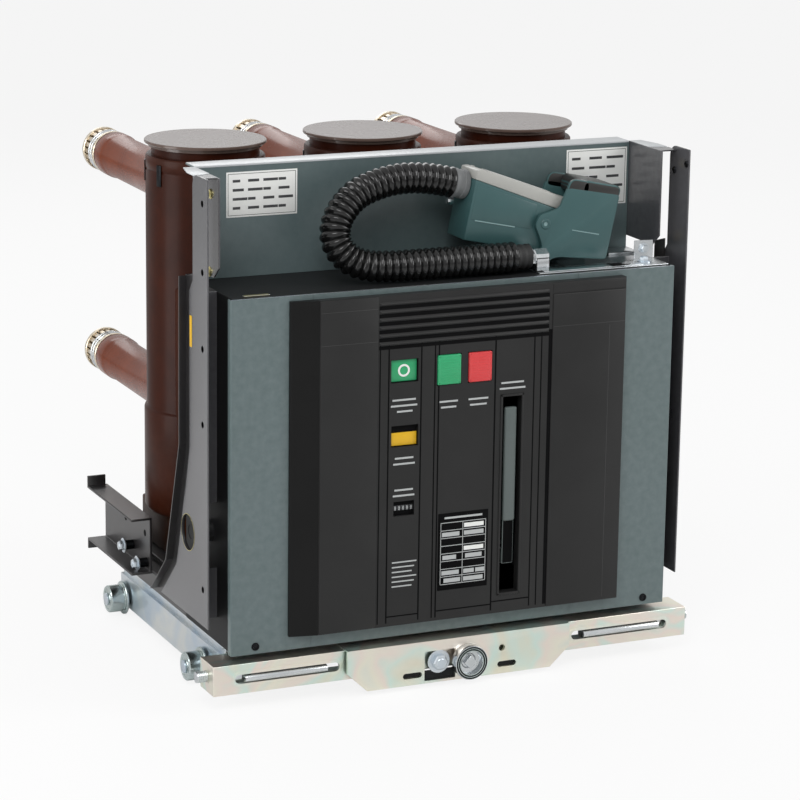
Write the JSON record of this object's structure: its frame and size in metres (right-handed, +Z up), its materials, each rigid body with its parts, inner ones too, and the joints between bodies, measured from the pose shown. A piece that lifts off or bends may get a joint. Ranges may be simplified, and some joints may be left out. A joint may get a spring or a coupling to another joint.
{
  "type": "withdrawable vacuum circuit breaker",
  "caption": "Indoor medium voltage vacuum circuit breaker on a withdrawable truck, with pole cylinders, contact arms, operating panel and control plug.",
  "frame": {"origin": "on the floor under the middle of the machine, halfway between the socket ring in front and the contact ends behind", "axes": "+Z up, the operating panel faces -Y, the contact arms point along +Y, +X to the right of a person who faces the panel"},
  "size_m": [0.656, 0.714, 0.63],
  "materials": {
    "zinc_plate": "satin",
    "yellow_zinc": "satin",
    "wheel_zinc": "satin",
    "black_steel": "semi-gloss",
    "side_paint": "semi-gloss",
    "cover_paint": "satin",
    "fascia_plastic": "satin",
    "green_plastic": "gloss",
    "red_plastic": "gloss",
    "lever_paint": "satin",
    "pole_resin": "semi-gloss",
    "cap_resin": "satin",
    "sleeve_resin": "gloss",
    "contact_metal": "satin",
    "bright_steel": "satin",
    "conduit_nylon": "gloss",
    "plug_plastic": "satin",
    "lid_plastic": "satin"
  },
  "bodies": {
    "breaker": {"rails": "zinc_plate", "deck": "zinc_plate", "pole_bearers": "black_steel", "pole_plate": "black_steel", "housing": "black_steel", "front_cover": "cover_paint", "fascia": "fascia_plastic", "top_plate": "bright_steel", "shroud_wall": "cover_paint", "shroud_wings": "cover_paint", "side_plate_left": "side_paint", "side_plate_right": "side_paint", "gussets": "black_steel", "pole_left": "pole_resin", "pole_middle": "pole_resin", "pole_right": "pole_resin", "pole_caps": "cap_resin", "upper_arms": "sleeve_resin", "lower_arms": "sleeve_resin", "upper_tulips": "contact_metal", "lower_tulips": "contact_metal", "post_insulators": "pole_resin", "bracket_left": "black_steel", "bracket_right": "black_steel", "screw_nut": "bright_steel", "lever_shaft": "bright_steel", "conduit_fitting": "bright_steel", "conduit": "conduit_nylon", "plug_body": "plug_plastic", "plug_lid": "lid_plastic", "cable_clamp": "lid_plastic"},
    "beam": {"front_beam": "yellow_zinc", "beam_arms": "zinc_plate", "centre_plate": "yellow_zinc", "socket_ring": "bright_steel"},
    "screw": {"racking_screw": "bright_steel"},
    "lock_left": {"handle_left": "bright_steel"},
    "lock_right": {"handle_right": "bright_steel"},
    "wheel_fl": {"wheel_front_left": "wheel_zinc"},
    "wheel_fr": {"wheel_front_right": "wheel_zinc"},
    "wheel_rl": {"wheel_rear_left": "wheel_zinc"},
    "wheel_rr": {"wheel_rear_right": "wheel_zinc"},
    "close_button": {"close_button": "green_plastic"},
    "open_button": {"open_button": "red_plastic"},
    "charging_lever": {"charging_lever": "lever_paint"},
    "plug_lever": {"plug_lever": "plug_plastic"}
  },
  "joints": [
    {"name": "beam_slide", "type": "slide", "parent": "breaker", "child": "beam", "axis": [0, -1, 0], "range_m": [0, 0.2]},
    {"name": "screw_turn", "type": "hinge", "parent": "beam", "child": "screw", "pos_m": [0.01, -0.335, 0.028], "axis": [0, -1, 0], "range_deg": [0, 7200]},
    {"name": "lock_left_slide", "type": "slide", "parent": "beam", "child": "lock_left", "axis": [1, 0, 0], "range_m": [0, 0.013], "stiffness_N_per_m": 1500, "springref_m": -0.005},
    {"name": "lock_right_slide", "type": "slide", "parent": "beam", "child": "lock_right", "axis": [-1, 0, 0], "range_m": [0, 0.013], "stiffness_N_per_m": 1500, "springref_m": -0.005},
    {"name": "close_button_push", "type": "slide", "parent": "breaker", "child": "close_button", "axis": [0, 1, 0], "range_m": [0, 0.006], "stiffness_N_per_m": 800, "springref_m": -0.003},
    {"name": "open_button_push", "type": "slide", "parent": "breaker", "child": "open_button", "axis": [0, 1, 0], "range_m": [0, 0.006], "stiffness_N_per_m": 800, "springref_m": -0.003},
    {"name": "charging_lever_pull", "type": "hinge", "parent": "breaker", "child": "charging_lever", "pos_m": [0.067, -0.307, 0.15], "axis": [1, 0, 0], "range_deg": [0, 80]},
    {"name": "plug_lever_lift", "type": "hinge", "parent": "breaker", "child": "plug_lever", "pos_m": [0.13428, -0.248, 0.54471], "axis": [0, -1, 0], "range_deg": [0, 75]},
    {"name": "wheel_fl_spin", "type": "hinge", "parent": "breaker", "child": "wheel_fl", "pos_m": [-0.3, -0.222, 0.0215], "axis": [1, 0, 0], "continuous": true},
    {"name": "wheel_fr_spin", "type": "hinge", "parent": "breaker", "child": "wheel_fr", "pos_m": [0.3, -0.222, 0.0215], "axis": [1, 0, 0], "continuous": true},
    {"name": "wheel_rl_spin", "type": "hinge", "parent": "breaker", "child": "wheel_rl", "pos_m": [-0.3, 0.065, 0.0215], "axis": [1, 0, 0], "continuous": true},
    {"name": "wheel_rr_spin", "type": "hinge", "parent": "breaker", "child": "wheel_rr", "pos_m": [0.3, 0.065, 0.0215], "axis": [1, 0, 0], "continuous": true}
  ],
  "couplings": [
    {"joint": "screw_turn", "follows": "beam_slide", "rad_per_m": 628.32}
  ]
}
